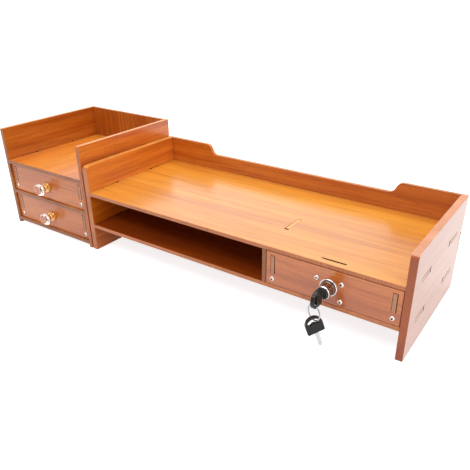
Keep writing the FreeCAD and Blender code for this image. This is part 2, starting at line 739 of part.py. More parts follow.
def pose(item, x, y, z, side, up):
    """Puts the item at x, y, z with its own x along side and its own y along up."""
    side = Vec(*side).normalize()
    up = Vec(*up)
    up = (up - side * up.dot(side)).normalize()
    normal = side.cross(up)
    matrix = FreeCAD.Matrix(side.x, up.x, normal.x, 0, side.y, up.y, normal.y, 0,
                            side.z, up.z, normal.z, 0, 0, 0, 0, 1)
    item.Placement = FreeCAD.Placement(matrix)
    place(item, x, y, z)


# The key in the lock points along Y, with its bow upright in the plane of Y and Z.
bowFoot = front - barrelNose - 0.2 - bowGap
for piece in (keyBow("key_bow"), keyBlade("key_blade")):
    pose(piece, lockWorldX, bowFoot, lockZ, (0, 0, 1), (0, -1, 0))

# The ring hangs in the lower end of that bow's slot, turned 23 degrees from the front.
spread = math.radians(38)
slotEndY = bowFoot - slotCentre - slotArc * math.cos(spread)
slotEndZ = lockZ - slotArc * math.sin(spread)
hangZ = slotEndZ - 1.1
heading = math.radians(-23)
along = (math.cos(heading), math.sin(heading), 0)
ring = doc.addObject("Part::Torus", "key_ring")
ring.Label = "key_ring"
ring.setExpression("Radius1", loop.text)
ring.setExpression("Radius2", wire.text)
pose(ring, lockWorldX, slotEndY, hangZ - loop, along, (0, 0, 1))
nodes["key_ring"] = ring

# The spare key hangs from the ring's lowest point, 23 degrees off the plumb line.
spareSide = Vec(0.60, 0.74, 0.30).normalize()
spareUp = Vec(-0.31, -0.156, 0.934)
spareUp = (spareUp - spareSide * spareUp.dot(spareSide)).normalize()
hangAcross = 1.4
hangUp = slotCentre.value + math.sqrt((slotArc.value + 1.0) ** 2 - hangAcross ** 2)
spareShift = spareSide * hangAcross + spareUp * hangUp
for piece in (keyBow("spare_key_bow"), keyBlade("spare_key_blade")):
    pose(piece, lockWorldX - spareShift.x, slotEndY - spareShift.y, hangZ - loop * 2 - spareShift.z,
         tuple(spareSide), tuple(spareUp))

doc.recompute()

# Every object is sound and every piece is a valid solid before anything is written.
for item in doc.Objects:
    for word in item.State:
        if word in ("Invalid", "Error"):
            raise RuntimeError("%s is %s" % (item.Name, word))
whole = FreeCAD.BoundBox()
for name, item in nodes.items():
    shape = item.Shape
    if shape.isNull() or not shape.isValid() or not shape.Solids:
        raise RuntimeError("%s has no valid solid" % name)
    whole.add(shape.BoundBox)

os.makedirs("parts", exist_ok=True)
for name, item in nodes.items():
    item.Shape.exportStep("parts/%s.step" % name)
print("%d pieces" % len(nodes))
print("box x %.3f %.3f  y %.3f %.3f  z %.3f %.3f" % (
    whole.XMin, whole.XMax, whole.YMin, whole.YMax, whole.ZMin, whole.ZMax))
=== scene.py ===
import bpy
import bmesh
import json
import math
from mathutils import Matrix, Vector


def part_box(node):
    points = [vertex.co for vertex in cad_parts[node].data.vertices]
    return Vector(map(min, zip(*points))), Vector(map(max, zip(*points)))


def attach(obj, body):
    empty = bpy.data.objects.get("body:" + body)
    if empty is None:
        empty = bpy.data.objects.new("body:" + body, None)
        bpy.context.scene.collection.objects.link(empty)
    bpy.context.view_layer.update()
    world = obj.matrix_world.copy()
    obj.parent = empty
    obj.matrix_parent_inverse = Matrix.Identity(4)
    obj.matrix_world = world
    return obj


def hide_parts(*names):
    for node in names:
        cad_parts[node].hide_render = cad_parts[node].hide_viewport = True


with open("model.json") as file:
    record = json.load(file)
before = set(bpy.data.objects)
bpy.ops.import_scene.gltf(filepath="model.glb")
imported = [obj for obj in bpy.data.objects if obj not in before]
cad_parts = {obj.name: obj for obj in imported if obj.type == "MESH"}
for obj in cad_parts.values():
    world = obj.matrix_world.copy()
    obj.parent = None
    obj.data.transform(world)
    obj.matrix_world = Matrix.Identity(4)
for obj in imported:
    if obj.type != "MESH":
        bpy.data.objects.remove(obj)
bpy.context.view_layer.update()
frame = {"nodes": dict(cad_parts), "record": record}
nodes = frame["nodes"]
bodyOf = {}
for bodyName, members in frame["record"]["behaviour"]["bodies"].items():
    for member in members:
        bodyOf[member] = bodyName
mm = 0.001
tiny = 1e-6       # metres within which two points are one
flatAngle = 0.6   # degrees between faces that count as one flat face
print("frame loaded:", len(nodes), "nodes")


# Small helpers for colours, nodes and meshes

def hexColor(code):
    # an sRGB code as linear red, green, blue and alpha
    out = []
    for i in (0, 2, 4):
        v = int(code[i:i + 2], 16) / 255
        out.append(v / 12.92 if v <= 0.04045 else ((v + 0.055) / 1.055) ** 2.4)
    return (*out, 1.0)


def addNode(tree, kind, settings=None, inputs=None):
    made = tree.nodes.new(kind)
    for key, value in (settings or {}).items():
        if key == "stops":
            ramp = made.color_ramp
            while len(ramp.elements) < len(value):
                ramp.elements.new(0.5)
            for element, (place, color) in zip(ramp.elements, value):
                element.position = place
                element.color = color
        else:
            setattr(made, key, value)
    for key, value in (inputs or {}).items():
        if isinstance(value, bpy.types.NodeSocket):
            tree.links.new(value, made.inputs[key])
        else:
            made.inputs[key].default_value = value
    return made


def objectPlace(tree):
    return addNode(tree, "ShaderNodeTexCoord").outputs["Object"]


def addNoise(tree, place, size, detail, roughness):
    # size of the figure in mm
    return addNode(tree, "ShaderNodeTexNoise", None, {
        "Vector": place, "Scale": 1000 / size, "Detail": detail, "Roughness": roughness}).outputs[0]


def drawnNoise(tree, place, axis, length, width, detail, roughness, bend=0.0, offset=(0, 0, 0)):
    # a figure with its own size along one axis, length and width in mm
    scale = [1000 / width] * 3
    scale["xyz".index(axis)] = 1000 / length
    moved = addNode(tree, "ShaderNodeMapping", None, {"Vector": place, "Location": offset, "Scale": scale})
    return addNode(tree, "ShaderNodeTexNoise", None, {
        "Vector": moved.outputs[0], "Scale": 1.0, "Detail": detail, "Roughness": roughness,
        "Distortion": bend}).outputs[0]


def mixNumbers(tree, share, first, second):
    return addNode(tree, "ShaderNodeMix", {"data_type": "FLOAT"}, {0: share, 2: first, 3: second}).outputs[0]


def mixTones(tree, share, first, second, blend="MIX"):
    return addNode(tree, "ShaderNodeMix", {"data_type": "RGBA", "blend_type": blend}, {
        0: share, 6: first, 7: second}).outputs[2]


def toneRamp(tree, value, stops):
    return addNode(tree, "ShaderNodeValToRGB", {"stops": stops}, {0: value}).outputs[0]


noiseSpan = (0.3, 0.7)   # most of a noise's values lie between these


def spread(tree, value, lowest, highest, begins=0.0, full=1.0):
    # what lies between begins and full comes out between lowest and highest
    return addNode(tree, "ShaderNodeMapRange", None, {
        "Value": value, "From Min": begins, "From Max": full, "To Min": lowest, "To Max": highest}).outputs[0]


def newMaterial(name, **sockets):
    material = bpy.data.materials.new(name)
    material.use_nodes = True
    tree = material.node_tree
    shader = tree.nodes["Principled BSDF"]
    for key, value in sockets.items():
        shader.inputs[key.replace("_", " ")].default_value = value
    return material, tree, shader


def connect(tree, shader, color, roughness, height=None, strength=0.0, relief=0.0, inward=False):
    # relief in mm
    tree.links.new(color, shader.inputs["Base Color"])
    tree.links.new(roughness, shader.inputs["Roughness"])
    if height is not None:
        bump = addNode(tree, "ShaderNodeBump", {"invert": inward}, {
            "Height": height, "Strength": strength, "Distance": relief * mm})
        tree.links.new(bump.outputs[0], shader.inputs["Normal"])


def finishMesh(name, mesh, materials, smoothAngle=None):
    for material in materials:
        mesh.materials.append(material)
    if smoothAngle is not None:
        for polygon in mesh.polygons:
            polygon.use_smooth = True
        mesh.set_sharp_from_angle(angle=math.radians(smoothAngle))
    item = bpy.data.objects.new(name, mesh)
    bpy.context.collection.objects.link(item)
    return item


def fromBmesh(name, bm, materials, smoothAngle=None):
    mesh = bpy.data.meshes.new(name)
    bm.to_mesh(mesh)
    bm.free()
    return finishMesh(name, mesh, materials, smoothAngle)


def settle(item):
    # turns an object with modifiers into a plain mesh
    bpy.context.view_layer.update()
    graph = bpy.context.evaluated_depsgraph_get()
    mesh = bpy.data.meshes.new_from_object(item.evaluated_get(graph), depsgraph=graph)
    item.modifiers.clear()
    old = item.data
    item.data = mesh
    bpy.data.meshes.remove(old)


def standFor(item, *replaced):
    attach(item, bodyOf[replaced[0]])
    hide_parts(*replaced)


def mergedCopy(node):
    # the CAD mesh is loose triangles: a copy is merged and its flat faces joined
    bm = bmesh.new()
    bm.from_mesh(nodes[node].data)
    bmesh.ops.remove_doubles(bm, verts=bm.verts, dist=tiny)
    bmesh.ops.dissolve_limit(bm, angle_limit=math.radians(flatAngle), verts=bm.verts, edges=bm.edges)
    return bm


def turned(bm, profile, centre, segments):
    # a ring of faces for each step of the profile, which is (radius, y) in mm about an axis along Y
    rings = []
    for radius, y in profile:
        if radius == 0:
            rings.append([bm.verts.new(centre + Vector((0, y * mm, 0)))])
            continue
        ring = []
        for i in range(segments):
            a = 2 * math.pi * i / segments
            ring.append(bm.verts.new(centre + Vector((radius * math.cos(a), y, radius * math.sin(a))) * mm))
        rings.append(ring)
    for low, high in zip(rings, rings[1:]):
        for i in range(segments):
            j = (i + 1) % segments
            if len(low) == 1 and len(high) == 1:
                continue
            if len(low) == 1:
                bm.faces.new((low[0], high[j], high[i]))
            elif len(high) == 1:
                bm.faces.new((low[i], low[j], high[0]))
            else:
                bm.faces.new((low[i], low[j], high[j], high[i]))


# Wood: cherry-pattern melamine foil pressed on fibreboard. The foil gives a printed straight grain under a
# satin resin coat that takes a broad soft glare; the cut edges show the board itself under a coat of sealer.

foil = {
    # tone: five colours from the darkest streak to the palest wood. The tones are one foil in painted light
    # and
    # shade: honey is the platform lit from above, russet and shelfShade are faces in shade, and blush is the
    # side panel washed pale by glare
    "honey": ("A04E16", "C87825", "DA8B2A", "E5972F", "EDA33E"),
    "amber": ("8E3E0C", "B15C17", "C97020", "D67F2A", "E09138"),
    "russet": ("742C04", "A04A0C", "B85C12", "C66C1C", "D27C2C"),
    "blush": ("A0582C", "AA603A", "B06640", "B46A44", "B86E48"),
    "cherry": ("7E3408", "AA5514", "C2691C", "CF7A28", "DB8C3A"),
    "carrot": ("742B04", "99480F", "AC581A", "B76423", "C16F2B"),
    "shelfShade": ("5A1C04", "823208", "9A3F0C", "AA4A12", "B8581A"),
    # layer: length and width of its figure in mm, then noise detail, roughness and distortion
    "layers": {"broad": (520, 46, 2.0, 0.5, 0.5), "band": (260, 9, 3.0, 0.55, 0.3),
               "streak": (90, 2.8, 3.0, 0.6, 0.15), "fibre": (34, 1.3, 2.0, 0.55, 0.0),
               "pore": (9, 0.8, 1.0, 0.5, 0.0)},
    # how far the noise is moved from board to board, and from layer to layer
    "boardStep": (3.7, 5.3, 2.9), "layerStep": (7, -3, 11),
    # stops: where each tone comes in the ground colour; masks: where a layer begins and is full, how much it
    # covers, and with which tone
    "toneNames": ("deep", "dark", "middle", "light", "pale"),
    "bandShare": 0.5, "stops": {"dark": 0.36, "middle": 0.46, "light": 0.54, "pale": 0.64},
    "masks": {"band": (0.55, 0.72, 0.42, "dark"), "streak": (0.52, 0.72, 0.66, "deep"),
              "fibre": (0.48, 0.74, 0.50, "dark"), "pore": (0.60, 0.72, 0.40, "deep")},
    "roughness": (0.27, 0.37), "glossSpan": (0.3, 0.8), "bump": 0.12, "poreDepth": 0.06,
    "resin": 0.5, "resinRoughness": 0.19,
    # the drawer fronts carry a fuller and denser coat of resin, under which the print itself hardly shines
    "resinOn": {"stand_drawer_front": 1.0, "upper_drawer_front": 0.7, "lower_drawer_front": 0.7},
    "printShine": 0.2, "denseResin": 1.6,
}


def cherryFoil(name, tone, grain, shift, strength, depth, resin=None):
    # depth makes the foil lighter or darker on one board than on another: painted light and shade, as every
    # board carries the same foil
    material, tree, shader = newMaterial(name, IOR=1.5, Coat_Weight=resin or foil["resin"],
                                         Coat_Roughness=foil["resinRoughness"], Coat_IOR=1.5)
    if resin:
        shader.inputs["Specular IOR Level"].default_value = foil["printShine"]
        shader.inputs["Coat IOR"].default_value = foil["denseResin"]
    place = objectPlace(tree)
    layers = {}
    for i, (label, figure) in enumerate(foil["layers"].items()):
        offset = [shift * a + i * b for a, b in zip(foil["boardStep"], foil["layerStep"])]
        layers[label] = drawnNoise(tree, place, grain, *figure, offset)
    tones = {}
    for label, code in zip(foil["toneNames"], foil[tone]):
        tones[label] = (*[v * depth for v in hexColor(code)[:3]], 1.0)
    mixed = mixNumbers(tree, foil["bandShare"], layers["broad"], layers["band"])
    color = toneRamp(tree, mixed, [(at, tones[label]) for label, at in foil["stops"].items()])
    masks = {}
    for label, (begins, full, most, laid) in foil["masks"].items():
        masks[label] = spread(tree, layers[label], 0.0, most * strength, begins, full)
        color = mixTones(tree, masks[label], color, tones[laid])
    gloss = spread(tree, layers["streak"], *foil["roughness"], *foil["glossSpan"])
    connect(tree, shader, color, gloss, masks["pore"], foil["bump"], foil["poreDepth"], True)
    return material


edge = {
    # tone: three colours from the darkest fibre to the palest
    "tan": ("784020", "9C5E34", "B8784A"), "brown": ("84361A", "A45028", "B86438"),
    "tray": ("7A421E", "9C5C32", "B47448"), "warm": ("8C4A20", "B56434", "C67A46"),
    "toplit": ("AA6A46", "C8855E", "D89B78"), "cream": ("B26824", "D08438", "DE9A50"),
    # pale: tab ends on the stand's right side panel are lightened as painted glare, to match the glare on
    # that panel
    "gold": ("B88248", "D89C58", "E4AC6C"), "pale": ("B27E60", "CA9C7E", "D8AE94"),
    "back": ("8A4A22", "B87038", "D08A4E"), "rose": ("9A5228", "C27242", "D48C5A"),
    # slotShade is painted shade for the walls of slots and notches
    "slotShade": ("34180A", "4E2812", "64371C"), "tenon": ("9A6242", "BC8462", "CC9676"),
    # boards whose tab ends aren't of the tone tenon, and whose upper edge isn't of the tone cream; cream and
    # toplit upper edges are painted highlight, lighter for the light from above
    "tenonTone": {"stand_divider": "gold", "stand_top_board": "pale", "stand_lower_board": "pale"},
    "upperTone": {"stand_side_right": "toplit"},
    # size of each figure in mm, for the marks along and across the edge, then noise detail and roughness
    "fibre": (1.1, 3.0, 0.6), "cloud": (26, 2.0, 0.5), "sawMarks": (1.6, 40, 2.0, 0.5), "sawShare": 0.35,
    "stops": (0.30, 0.5, 0.72), "shade": (0.84, 1.06), "roughness": (0.28, 0.48), "bump": 0.25,
    "relief": 0.1, "sealer": 0.1, "sealerRoughness": 0.16, "shadeShine": 0.08,
}


def sealedEdge(name, tone, along):
    # sawn fibreboard under sealer: tan, with short fibres and faint saw marks across the edge's length
    material, tree, shader = newMaterial(name, IOR=1.46, Coat_Weight=edge["sealer"],
                                         Coat_Roughness=edge["sealerRoughness"])
    if tone == "slotShade":   # painted shade: slot and notch walls are dark and dull, for the shade in the narrow slots
        shader.inputs["Specular IOR Level"].default_value = edge["shadeShine"]
        shader.inputs["Coat Weight"].default_value = 0.0
    place = objectPlace(tree)
    fibre = addNoise(tree, place, *edge["fibre"])
    cloud = addNoise(tree, place, *edge["cloud"])
    marks = drawnNoise(tree, place, along, *edge["sawMarks"])
    mixed = mixNumbers(tree, edge["sawShare"], fibre, marks)
    grainTone = toneRamp(tree, mixed, [(at, hexColor(code)) for at, code in zip(edge["stops"], edge[tone])])
    shade = spread(tree, cloud, *edge["shade"], *noiseSpan)
    toned = mixTones(tree, 1.0, grainTone, shade, "MULTIPLY")
    rough = spread(tree, mixed, *edge["roughness"])
    connect(tree, shader, toned, rough, mixed, edge["bump"], edge["relief"])
    return material


# Metals, plastic and glass: noise moves their tone and roughness a little. Each figure has its size in mm,
# then noise detail and roughness.

metal = {"detail": 3.0, "roughness": 0.55, "bump": 0.05, "relief": 0.05}
plastic = {"tones": ("0A0909", "121010"), "roughness": (0.22, 0.34), "shine": 0.3,
           "grain": (0.6, 2.0, 0.5), "handled": (7, 2.0, 0.5), "bump": 0.12, "relief": 0.05}
crystal = {"tones": ("FFF2EC", "FAE6DC"), "roughness": (0.0, 0.02), "haze": (4, 2.0, 0.5)}


def dressMetal(name, tones, roughness, change, grit):
    # plated metal: mirror-like, with faint clouds in its polish, grit in mm
    material, tree, shader = newMaterial(name, Metallic=1.0)
    cloud = addNoise(tree, objectPlace(tree), grit, metal["detail"], metal["roughness"])
    tone = mixTones(tree, cloud, hexColor(tones[0]), hexColor(tones[1]))
    rough = spread(tree, cloud, roughness, roughness + change, *noiseSpan)
    connect(tree, shader, tone, rough, cloud, metal["bump"], metal["relief"])
    return material


nickelPlate = dressMetal("bright nickel plate", ("E6DCD4", "D2C6BC"), 0.14, 0.08, 2.5)
chromePlate = dressMetal("polished chrome plate", ("E6E6E8", "D4D6DA"), 0.05, 0.04, 6)
zincPlate = dressMetal("zinc plated sheet steel", ("B9BCC4", "A6A49A"), 0.30, 0.15, 1.6)
# painted shade: the screws' cross recess is dark, for the shade inside it
recessShade = dressMetal("painted shade in the screw's recess", ("3A342E", "221E1A"), 0.42, 0.15, 1.5)
# painted shade on the plug and in the lock's groove, and painted reflection of the wood on the barrel's
# chrome
shadedNickel = dressMetal("painted shade on the nickel of the plug", ("6E6A64", "55514C"), 0.24, 0.10, 2.0)
woodTintChrome = dressMetal("painted wood reflection on the barrel's chrome", ("A48C7A", "8A7464"), 0.16, 0.08, 2.0)
brassPolish = dressMetal("polished brass", ("DDB070", "C48A4C"), 0.07, 0.05, 5)
keySteel = dressMetal("nickelled key blank", ("C4C4C4", "AEAEB0"), 0.26, 0.10, 1.8)
ringSteel = dressMetal("bright spring wire", ("B4B4B8", "98989E"), 0.20, 0.08, 1.5)


def mouldedPlastic():
    # injection moulded ABS, black: satin skin with a very fine spark-eroded grain
    material, tree, shader = newMaterial("black moulded ABS", IOR=1.5, Specular_IOR_Level=plastic["shine"])
    place = objectPlace(tree)
    grain = addNoise(tree, place, *plastic["grain"])
    handled = addNoise(tree, place, *plastic["handled"])
    tone = mixTones(tree, handled, *[hexColor(code) for code in plastic["tones"]])
    rough = spread(tree, handled, *plastic["roughness"], *noiseSpan)
    connect(tree, shader, tone, rough, grain, plastic["bump"], plastic["relief"])
    return material


def cutCrystal():
    # clear crown glass with polished facets: full refraction and a trace of haze
    material, tree, shader = newMaterial("cut crystal glass", IOR=1.52, Transmission_Weight=1.0)
    haze = addNoise(tree, objectPlace(tree), *crystal["haze"])
    tone = mixTones(tree, haze, *[hexColor(code) for code in crystal["tones"]])
    connect(tree, shader, tone, spread(tree, haze, *crystal["roughness"]))
    return material


blackPlastic = mouldedPlastic()
crystalGlass = cutCrystal()
print("metals, plastic and glass ready")


# Boards: each copy keeps the CAD outline and gets softened long edges, foil on its two faces and bare edges

boards = {
    # node: (thin axis, foil tone, grain axis, pattern shift, streak strength, depth of the tone, edge tone)
    # foil tone and depth are painted light and shade: boards in light get paler, yellower tones and boards in
    # shade get darker, redder ones
    "stand_side_left": ("x", "amber", "y", 1, 0.85, 1.24, "rose"),
    "stand_side_right": ("x", "blush", "y", 2, 0.10, 1.05, "brown"),
    "stand_top_board": ("z", "honey", "x", 3, 0.65, 0.84, "rose"),
    "stand_lower_board": ("z", "shelfShade", "x", 4, 0.8, 0.72, "rose"),
    "stand_back_panel": ("y", "russet", "x", 5, 0.8, 0.98, "back"),
    "stand_divider": ("x", "cherry", "y", 6, 0.8, 0.9, "tan"),
    "cabinet_side_left": ("x", "russet", "y", 7, 0.8, 0.90, "tan"),
    "cabinet_side_right": ("x", "russet", "y", 8, 0.8, 1.25, "warm"),
    "cabinet_tray_board": ("z", "amber", "y", 9, 0.8, 1.0, "tray"),
    "cabinet_middle_board": ("z", "cherry", "y", 10, 0.8, 0.9, "tan"),
    "cabinet_bottom_board": ("z", "cherry", "y", 11, 0.8, 0.9, "tan"),
    "cabinet_back_panel": ("y", "russet", "z", 12, 1.3, 0.78, "back"),
}
for i, prefix in enumerate(("stand_drawer", "upper_drawer", "lower_drawer")):
    boards[prefix + "_front"] = ("y", "carrot", "x", 20 + i, 0.85, 1.34, "brown")
    boards[prefix + "_back"] = ("y", "cherry", "x", 24 + i, 0.8, 1.0, "brown")
    boards[prefix + "_left"] = ("x", "cherry", "y", 28 + i, 0.8, 1.0, "brown")
    boards[prefix + "_right"] = ("x", "cherry", "y", 32 + i, 0.8, 1.0, "brown")
    boards[prefix + "_floor"] = ("z", "cherry", "y", 36 + i, 0.8, 1.0, "brown")
softening = {"width": 0.45, "segments": 2, "shortest": 14.0, "corner": 60.0, "sharp": 30}

# What tells a board's faces apart. In mm: a slot's wall lies inside the outline, a tab's end lies on it and
# is short but no sliver, a notch keeps clear of the panel's ends, and upward edges near the top get painted
# highlight. The platform and the dip in the lip have their heights here. The last three are parts of a face's
# normal.
kinds = {"inside": 3.0, "onOutline": 0.1, "tabArea": 30.0, "tabLong": 46.0, "notchClear": 20.0,
         "toplitDepth": 14.0, "platform": 94.5, "lip": 118.0, "flat": 0.98, "level": 0.9, "upward": 0.7}
faceSlot = {"foil": 0, "sawn": 1, "slotShade": 2, "tab": 3, "toplit": 4, "shadeSheet": 5}

slotShade = {axis: sealedEdge("scorched slot wall, along " + axis, "slotShade", axis) for axis in "xyz"}
tenon = {kind + axis: sealedEdge("sanded end of a tab, " + kind + ", along " + axis, kind, axis)
         for kind in ("tenon", "gold", "pale") for axis in "xyz"}
toplit = {kind + axis: sealedEdge("hand-rubbed upper edge, " + kind + ", along " + axis, kind, axis)
          for kind in ("toplit", "cream") for axis in "xyz"}
# painted shade: a darker, redder copy of the foil for the inner face of the stand's left panel under the
# platform
shadeSheet = cherryFoil("cherry melamine foil, painted shade under the platform", "russet", "y", 41, 0.9, 1.3, 0.15)


def faceKind(face, node, thin, low, high):
    axis = "xyz".index(thin)
    middle = face.calc_center_median()
    reach = min(min(middle[i] - low[i], high[i] - middle[i]) for i in range(3) if i != axis) / mm
    fromEnds = min(middle.z - low.z, high.z - middle.z) / mm
    length = max(item.calc_length() for item in face.edges) / mm
    area = face.calc_area() / (mm * mm)
    inLipDip = node == "stand_back_panel" and middle.z > kinds["lip"] * mm
    if abs(face.normal[axis]) > kinds["flat"]:
        return "foil"
    # painted shade: level notch walls and walls inside the outline are dark
    if thin == "x" and abs(face.normal.z) > kinds["level"] and fromEnds > kinds["notchClear"]:
        return "slotShade"
    if reach > kinds["inside"] and not inLipDip:
        return "slotShade"
    if reach < kinds["onOutline"] and length < kinds["tabLong"] and area > kinds["tabArea"]:
        return "tab"
    # painted highlight: upward edges near a side panel's top are lighter, for the light from above
    if thin == "x" and face.normal.z > kinds["upward"] and middle.z > high.z - kinds["toplitDepth"] * mm:
        return "toplit"
    return "sawn"


def softenLongEdges(bm):
    long = []
    for item in bm.edges:
        if len(item.link_faces) == 2 and item.calc_length() > softening["shortest"] * mm:
            if item.is_convex and item.calc_face_angle() > math.radians(softening["corner"]):
                long.append(item)
    bmesh.ops.bevel(bm, geom=long, offset=softening["width"] * mm, offset_type="OFFSET",
                    segments=softening["segments"], profile=0.5, affect="EDGES", clamp_overlap=False)


def layShadeSheet(bm, inner):
    # painted shade: the stand's left panel gets a darker, redder copy of the foil on its inner face under the
    # platform, for the shade in the shelf
    level = kinds["platform"] * mm
    bmesh.ops.triangulate(bm, faces=[face for face in bm.faces if face.material_index == faceSlot["foil"]])
    bmesh.ops.bisect_plane(bm, geom=bm.verts[:] + bm.edges[:] + bm.faces[:], dist=tiny,
                           plane_co=(0, 0, level), plane_no=(0, 0, 1))
    bm.normal_update()
    for face in bm.faces:
        middle = face.calc_center_median()
        if face.material_index == faceSlot["foil"] and middle.x > inner - kinds["onOutline"] * mm:
            if middle.z < level:
                face.material_index = faceSlot["shadeSheet"]


for node, (thin, tone, grain, shift, strength, depth, edgeTone) in boards.items():
    bm = mergedCopy(node)
    bm.normal_update()
    softenLongEdges(bm)
    bm.normal_update()
    low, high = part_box(node)
    for face in bm.faces:
        face.material_index = faceSlot[faceKind(face, node, thin, low, high)]
    for face in bm.faces:   # painted shade: the softened edge round a tab is dark like the slot, for the shadow in the gap round it
        if face.material_index == faceSlot["tab"]:
            for item in face.edges:
                for near in item.link_faces:
                    if near.material_index == faceSlot["sawn"]:
                        near.material_index = faceSlot["slotShade"]
    if node == "stand_side_left":
        layShadeSheet(bm, high.x)
    words = node.replace("_", " ")
    board = fromBmesh(node + ".board", bm, [
        cherryFoil("cherry melamine foil, " + words, tone, grain, shift, strength, depth,
                   foil["resinOn"].get(node)),
        sealedEdge("sawn edge, " + words, edgeTone, grain), slotShade[grain],
        tenon[edge["tenonTone"].get(node, "tenon") + grain],
        toplit[edge["upperTone"].get(node, "cream") + grain], shadeSheet], softening["sharp"])
    weigh = board.modifiers.new("evenShading", "WEIGHTED_NORMAL")
    weigh.keep_sharp = True
    settle(board)
    standFor(board, node)
print("boards dressed:", len(boards))


# Pan-head machine screws with a cross recess, placed by a node tree, one mesh for each CAD node

screw = {"headRadius": 3.2, "headHeight": 1.9, "shank": 1.42, "pitch": 0.5, "threadDepth": 0.26,
         "length": 13.5, "shortLength": 7.4, "round": 28, "sharp": 32,
         # where the thread's crest and root lie, as parts of the pitch, and how much thinner the end is
         "crest": 0.35, "root": 0.75, "thinner": 0.3,
         # the recess across its arms, their width, and its taper: (part of that size, depth from the top)
         "recess": 1.95, "recessWidth": 1.15, "taper": ((1.25, -0.4), (1.0, 0.0), (0.62, 1.6)),
         # the domed head, as parts of its radius and of its height
         "dome": ((0, 1), (0.42, 0.985), (0.66, 0.90), (0.83, 0.74), (0.94, 0.48), (0.99, 0.2), (1, 0)),
         # the knobs' screws are a little larger
         "knobSize": 1.08, "knobHead": 2.1}


def screwTemplate(name, length):
    bm = bmesh.new()
    r, h = screw["headRadius"], screw["headHeight"]
    profile = [(r * out, -h * up) for out, up in screw["dome"]] + [(screw["shank"], 0)]
    turns = int(length / screw["pitch"])
    for i in range(turns):
        profile.append((screw["shank"], (i + screw["crest"]) * screw["pitch"]))
        profile.append((screw["shank"] - screw["threadDepth"], (i + screw["root"]) * screw["pitch"]))
    profile += [(screw["shank"] - screw["thinner"], length), (0, length)]
    turned(bm, profile, Vector((0, 0, 0)), screw["round"])
    bmesh.ops.recalc_face_normals(bm, faces=bm.faces)
    body = fromBmesh(name, bm, [nickelPlate])
    bm = bmesh.new()
    levels = []
    for scale, depth in screw["taper"]:
        reach, half = screw["recess"] * scale, screw["recessWidth"] / 2 * scale
        corners = []
        for quarter in range(4):
            turn = Matrix.Rotation(-quarter * math.pi / 2, 3, "Y")
            for x, z in ((reach, -half), (reach, half), (half, half)):
                corners.append(bm.verts.new(turn @ (Vector((x, depth - h, z)) * mm)))
        levels.append(corners)
    for low, high in zip(levels, levels[1:]):
        for i in range(len(low)):
            j = (i + 1) % len(low)
            bm.faces.new((low[i], low[j], high[j], high[i]))
    bm.faces.new(levels[0])
    bm.faces.new(levels[-1])
    bmesh.ops.recalc_face_normals(bm, faces=bm.faces)
    cutter = fromBmesh(name + "Recess", bm, [recessShade])
    made = body.modifiers.new("recess", "BOOLEAN")
    made.object = cutter
    made.solver = "EXACT"
    made.material_mode = "TRANSFER"
    settle(body)
    bpy.data.objects.remove(cutter)
    inside = body.data.attributes.new("inRecess", "BOOLEAN", "FACE")
    for polygon in body.data.polygons:
        inside.data[polygon.index].value = body.data.materials[polygon.material_index] == recessShade
    for polygon in body.data.polygons:
        polygon.use_smooth = True
    body.data.set_sharp_from_angle(angle=math.radians(screw["sharp"]))
    return body


def screwPlacer():
    tree = bpy.data.node_groups.new("placed screws", "GeometryNodeTree")
    face = tree.interface
    face.new_socket("Geometry", in_out="INPUT", socket_type="NodeSocketGeometry")
    face.new_socket("Screw", in_out="INPUT", socket_type="NodeSocketObject")
    face.new_socket("Seed", in_out="INPUT", socket_type="NodeSocketInt")
    face.new_socket("Metal", in_out="INPUT", socket_type="NodeSocketMaterial")
    face.new_socket("Recess", in_out="INPUT", socket_type="NodeSocketMaterial")
    face.new_socket("Geometry", in_out="OUTPUT", socket_type="NodeSocketGeometry")
    source = addNode(tree, "NodeGroupInput")
    template = addNode(tree, "GeometryNodeObjectInfo", None, {"Object": source.outputs["Screw"]})
    spin = addNode(tree, "FunctionNodeRandomValue", {"data_type": "FLOAT"}, {
        2: 0.0, 3: 6.283, "Seed": source.outputs["Seed"]})
    facing = addNode(tree, "GeometryNodeInputNamedAttribute", {"data_type": "FLOAT"}, {"Name": "facing"})
    size = addNode(tree, "GeometryNodeInputNamedAttribute", {"data_type": "FLOAT"}, {"Name": "size"})
    angles = addNode(tree, "ShaderNodeCombineXYZ", None, {"Y": spin.outputs[1], "Z": facing.outputs[0]})
    placed = addNode(tree, "GeometryNodeInstanceOnPoints", None, {
        "Points": source.outputs["Geometry"], "Instance": template.outputs["Geometry"],
        "Rotation": angles.outputs[0], "Scale": size.outputs[0]})
    real = addNode(tree, "GeometryNodeRealizeInstances", None, {"Geometry": placed.outputs[0]})
    plated = addNode(tree, "GeometryNodeSetMaterial", None, {
        "Geometry": real.outputs[0], "Material": source.outputs["Metal"]})
    inside = addNode(tree, "GeometryNodeInputNamedAttribute", {"data_type": "BOOLEAN"}, {"Name": "inRecess"})
    shadedInRecess = addNode(tree, "GeometryNodeSetMaterial", None, {
        "Geometry": plated.outputs[0], "Selection": inside.outputs[0], "Material": source.outputs["Recess"]})
    addNode(tree, "NodeGroupOutput", None, {"Geometry": shadedInRecess.outputs[0]})
    return tree


def placeScrews(name, template, spots, seed):
    # spots are (point, facing angle about Z, size)
    mesh = bpy.data.meshes.new(name)
    mesh.from_pydata([tuple(spot[0]) for spot in spots], [], [])
    for label, column in (("facing", 1), ("size", 2)):
        layer = mesh.attributes.new(label, "FLOAT", "POINT")
        for i, spot in enumerate(spots):
            layer.data[i].value = spot[column]
    item = bpy.data.objects.new(name, mesh)
    bpy.context.collection.objects.link(item)
    tool = item.modifiers.new("screws", "NODES")
    tool.node_group = screwTree
    values = {"Screw": template, "Seed": seed, "Metal": nickelPlate, "Recess": recessShade}
    for socket in screwTree.interface.items_tree:
        if socket.in_out == "INPUT" and socket.name in values:
            tool[socket.identifier] = values[socket.name]
    settle(item)
    return item


